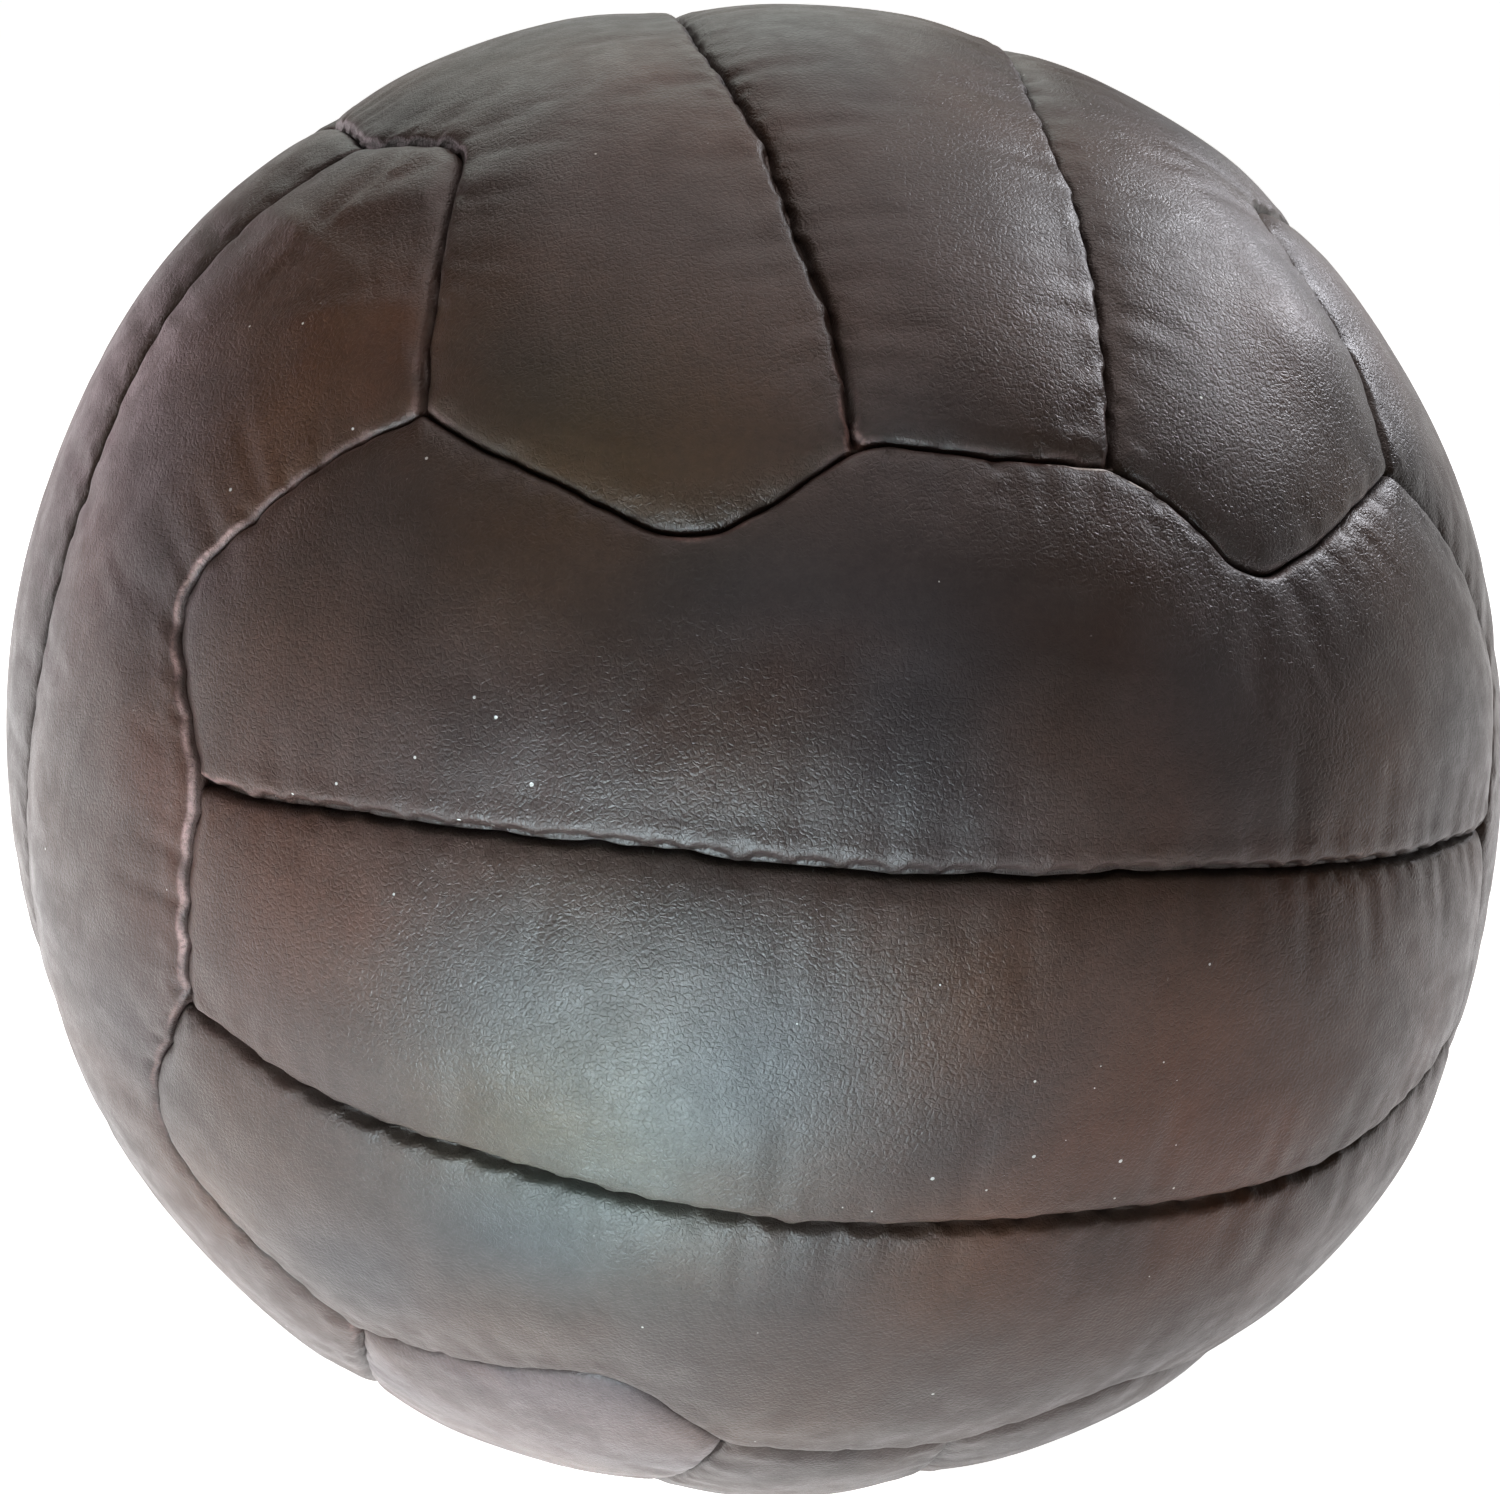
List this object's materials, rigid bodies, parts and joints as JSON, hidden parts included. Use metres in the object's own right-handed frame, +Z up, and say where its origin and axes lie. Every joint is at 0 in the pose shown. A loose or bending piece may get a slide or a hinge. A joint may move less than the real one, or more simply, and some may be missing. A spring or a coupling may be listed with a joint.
{
  "type": "medicine ball",
  "caption": "Stuffed leather medicine ball, a hand-sewn cover of long strips meeting in zigzag seams, with an inner bag and textile stuffing.",
  "frame": {"origin": "middle of the flat patch that the ball stands on, under its centre", "axes": "+Z up through the ball's centre and the middle of its top strip; -Y out of the front, the side whose strips run level; +X to the right seen from the front"},
  "size_m": [0.28, 0.28, 0.278],
  "materials": {
    "aged_leather": "satin",
    "waxed_thread": "matte",
    "bag_canvas": "matte",
    "textile_fill": "matte"
  },
  "bodies": {
    "root": {"edge_thread_back_bottom": "waxed_thread", "edge_thread_back_top": "waxed_thread", "edge_thread_bottom_left": "waxed_thread", "edge_thread_bottom_right": "waxed_thread", "edge_thread_front_bottom": "waxed_thread", "edge_thread_front_top": "waxed_thread", "edge_thread_left_back": "waxed_thread", "edge_thread_left_front": "waxed_thread", "edge_thread_right_back": "waxed_thread", "edge_thread_right_front": "waxed_thread", "edge_thread_top_left": "waxed_thread", "edge_thread_top_right": "waxed_thread", "inner_bag": "bag_canvas", "panel_back_lower": "aged_leather", "panel_back_middle": "aged_leather", "panel_back_upper": "aged_leather", "panel_bottom_left": "aged_leather", "panel_bottom_middle": "aged_leather", "panel_bottom_right": "aged_leather", "panel_front_lower": "aged_leather", "panel_front_middle": "aged_leather", "panel_front_upper": "aged_leather", "panel_left_back": "aged_leather", "panel_left_front": "aged_leather", "panel_left_middle": "aged_leather", "panel_right_back": "aged_leather", "panel_right_front": "aged_leather", "panel_right_middle": "aged_leather", "panel_top_left": "aged_leather", "panel_top_middle": "aged_leather", "panel_top_right": "aged_leather", "strip_thread_back_lower": "waxed_thread", "strip_thread_back_upper": "waxed_thread", "strip_thread_bottom_left": "waxed_thread", "strip_thread_bottom_right": "waxed_thread", "strip_thread_front_lower": "waxed_thread", "strip_thread_front_upper": "waxed_thread", "strip_thread_left_back": "waxed_thread", "strip_thread_left_front": "waxed_thread", "strip_thread_right_back": "waxed_thread", "strip_thread_right_front": "waxed_thread", "strip_thread_top_left": "waxed_thread", "strip_thread_top_right": "waxed_thread", "textile_stuffing": "textile_fill"}
  },
  "joints": []
}
